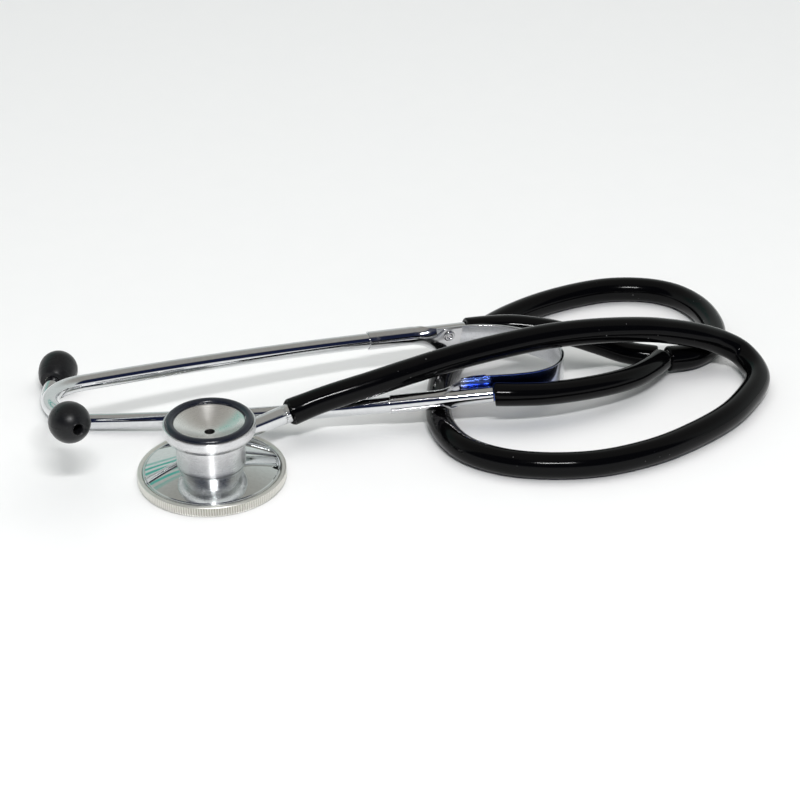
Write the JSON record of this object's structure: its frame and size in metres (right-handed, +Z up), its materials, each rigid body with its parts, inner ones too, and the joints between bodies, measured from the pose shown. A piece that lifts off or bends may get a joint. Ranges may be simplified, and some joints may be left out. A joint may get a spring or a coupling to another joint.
{
  "type": "stethoscope",
  "caption": "Lying stethoscope: a diaphragm and bell chest piece on a turning stem, looped tubing, a leaf spring and crossed ear tubes that spread and swivel.",
  "frame": {"origin": "centre of the diaphragm's outer face, on the table", "axes": "+Z up, out of the bell; +X from the chest piece towards the tubing's loop, along the ear tubes; +Y from the front ear tube towards the rear one"},
  "size_m": [0.2437, 0.1423, 0.0361],
  "materials": {
    "satin_metal": "satin, straight knurl",
    "chrome": "polished",
    "steel": "plain",
    "brass": "plain",
    "white_plastic": "semi-gloss",
    "black_rubber": "gloss",
    "black_tubing": "gloss, flexible",
    "soft_plastic": "satin"
  },
  "bodies": {
    "root": {"main_tube": "black_tubing", "y_connector": "soft_plastic", "front_branch_tube": "black_tubing", "rear_branch_tube": "black_tubing", "leaf_spring": "chrome", "stem": "chrome", "stem_clip": "steel", "detent_ball": "steel", "detent_spring": "steel"},
    "head": {"diaphragm_ring": "satin_metal", "diaphragm": "white_plastic", "diaphragm_gasket": "black_rubber", "diaphragm_plate": "chrome", "bell_barrel": "chrome", "bell_ring": "black_rubber"},
    "front_arm": {"front_clasp": "chrome", "front_rivet": "chrome"},
    "rear_arm": {"rear_clasp": "chrome", "rear_rivet": "chrome"},
    "front_ear": {"front_ear_tube": "chrome", "front_ear_tip": "soft_plastic", "front_tip_insert": "brass"},
    "rear_ear": {"rear_ear_tube": "chrome", "rear_ear_tip": "soft_plastic", "rear_tip_insert": "brass"}
  },
  "joints": [
    {"name": "head_turn", "type": "hinge", "parent": "root", "child": "head", "pos_m": [0, 0, 0.012], "axis": [-0.788, -0.6157, 0], "range_deg": [0, 180]},
    {"name": "rear_arm_spread", "type": "hinge", "parent": "root", "child": "rear_arm", "pos_m": [0.113, 0.045, 0.013], "axis": [0, 0, -1], "range_deg": [0, 35], "stiffness_Nm_per_rad": 1, "deforming": ["leaf_spring", "rear_branch_tube"]},
    {"name": "front_arm_spread", "type": "hinge", "parent": "root", "child": "front_arm", "pos_m": [0.113, 0.045, 0.013], "axis": [0, 0, -1], "range_deg": [0, 8], "stiffness_Nm_per_rad": 1, "deforming": ["leaf_spring", "front_branch_tube"]},
    {"name": "rear_ear_turn", "type": "hinge", "parent": "rear_arm", "child": "rear_ear", "pos_m": [0.0492, 0.057, 0.0167], "axis": [-0.9334, -0.349, 0.0837], "range_deg": [-15, 20]},
    {"name": "front_ear_turn", "type": "hinge", "parent": "front_arm", "child": "front_ear", "pos_m": [0.0565, 0.0259, 0.0104], "axis": [0.9963, 0.0174, 0.0837], "range_deg": [-15, 15]}
  ]
}
